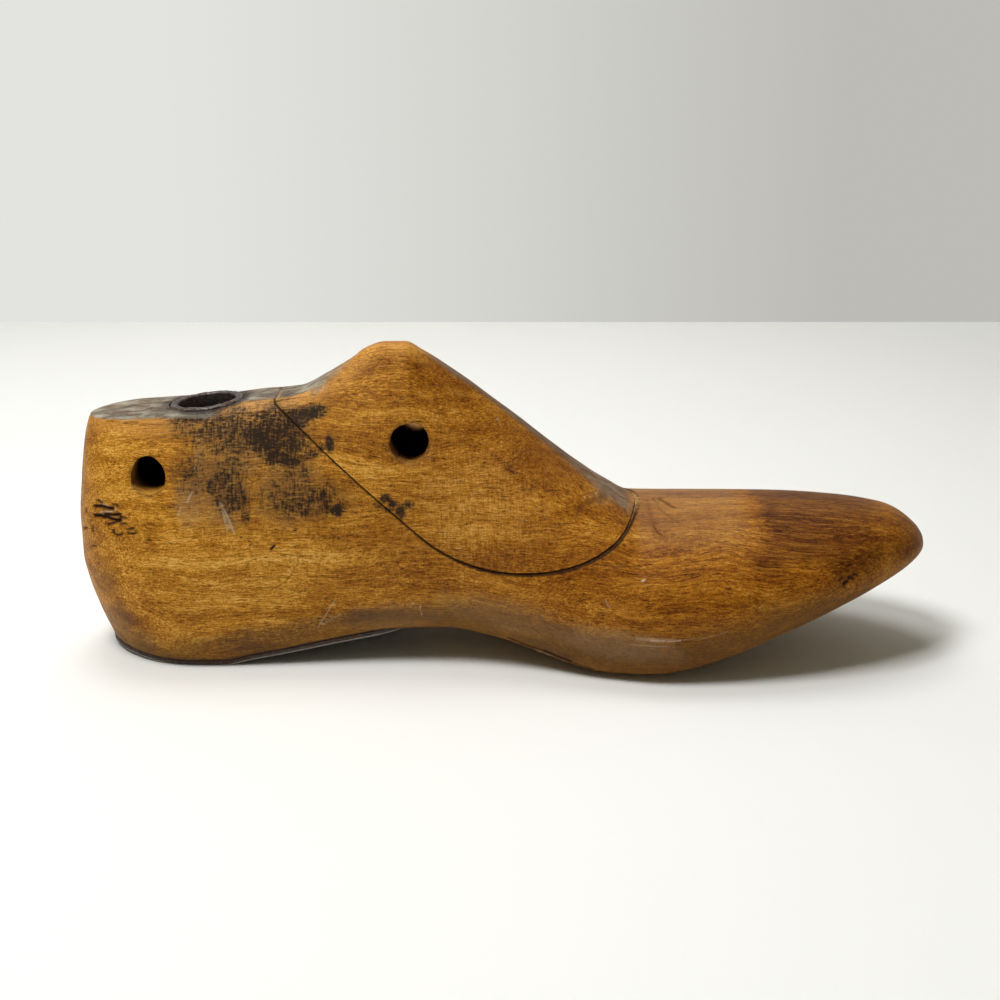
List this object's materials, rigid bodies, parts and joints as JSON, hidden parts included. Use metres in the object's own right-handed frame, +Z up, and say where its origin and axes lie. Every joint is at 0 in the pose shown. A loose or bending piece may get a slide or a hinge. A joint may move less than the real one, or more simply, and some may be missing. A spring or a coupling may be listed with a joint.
{
  "type": "cobbler last",
  "caption": "Wooden shoe last for a pointed left shoe, with a lift-off instep block, hook holes, a steel jack thimble and an iron heel plate.",
  "frame": {"origin": "middle of the last's bounding box, on the floor it rests on", "axes": "+X from the heel to the toe, +Y to the outer side of the foot, +Z up"},
  "size_m": [0.2399, 0.0767, 0.087],
  "materials": {
    "old_beech": "worn, oiled, stained",
    "block_beech": "worn, oiled",
    "thimble_steel": "tarnished, rim worn bright",
    "plate_iron": "dark, lightly rusted",
    "nail_iron": "dark, filed flush",
    "pin_steel": "plain",
    "bush_brass": "dull"
  },
  "bodies": {
    "last": {"last_body": "old_beech", "jack_thimble": "thimble_steel", "heel_plate": "plate_iron", "block_pin": "pin_steel", "heel_nail_1": "nail_iron", "heel_nail_2": "nail_iron", "heel_nail_3": "nail_iron", "heel_nail_4": "nail_iron", "heel_nail_5": "nail_iron", "heel_nail_6": "nail_iron", "heel_nail_7": "nail_iron", "heel_nail_8": "nail_iron", "heel_nail_9": "nail_iron"},
    "block": {"scoop_block": "block_beech", "pin_bush": "bush_brass"}
  },
  "joints": [
    {"name": "block_slide", "type": "slide", "parent": "last", "child": "block", "axis": [-0.6691, 0, 0.7431], "range_m": [0, 0.07]}
  ]
}
